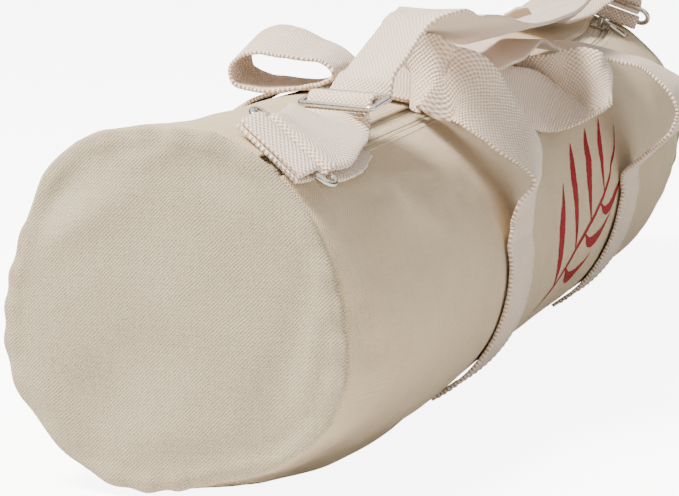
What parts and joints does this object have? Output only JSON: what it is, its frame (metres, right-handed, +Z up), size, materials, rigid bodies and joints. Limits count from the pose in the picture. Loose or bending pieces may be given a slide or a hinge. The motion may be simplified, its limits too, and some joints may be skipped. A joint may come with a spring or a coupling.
{
  "type": "yoga mat bag",
  "caption": "Round canvas yoga mat bag lying on its side, with a zipped opening along its top, webbing carrying handles and an adjustable shoulder strap on rings.",
  "frame": {"origin": "on the floor under the middle of the bag's length, at the middle of the flat strip that it lies on", "axes": "+X along the bag towards the end with the zip slider, +Z up, the zip and the front handle are turned towards -Y"},
  "size_m": [0.6205, 0.2037, 0.2026],
  "materials": {
    "tube_canvas": "natural unbleached cotton canvas",
    "end_canvas": "natural unbleached cotton canvas",
    "cotton_webbing": "thick woven cotton webbing",
    "zip_tape": "woven zip tape",
    "zip_coil": "nylon coil",
    "nickel_plated_steel": "nickel plated"
  },
  "bodies": {
    "bag": {"body_tube": "tube_canvas", "end_near": "end_canvas", "end_far": "end_canvas", "zip_tape_front": "zip_tape", "zip_tape_back": "zip_tape", "zip_teeth": "zip_coil", "zip_slider": "nickel_plated_steel", "shoulder_strap": "cotton_webbing", "strap_slider": "nickel_plated_steel", "ring_near": "nickel_plated_steel", "ring_far": "nickel_plated_steel", "tab_near": "cotton_webbing", "tab_far": "cotton_webbing", "handle_front": "cotton_webbing", "handle_back": "cotton_webbing"},
    "zip_pull": {"zip_pull": "nickel_plated_steel"}
  },
  "joints": [
    {"name": "zip_pull_hinge", "type": "hinge", "parent": "bag", "child": "zip_pull", "pos_m": [0.28356, -0.03076, 0.16026], "axis": [-0.9952, 0.0314, -0.0931], "range_deg": [0, 195]}
  ]
}
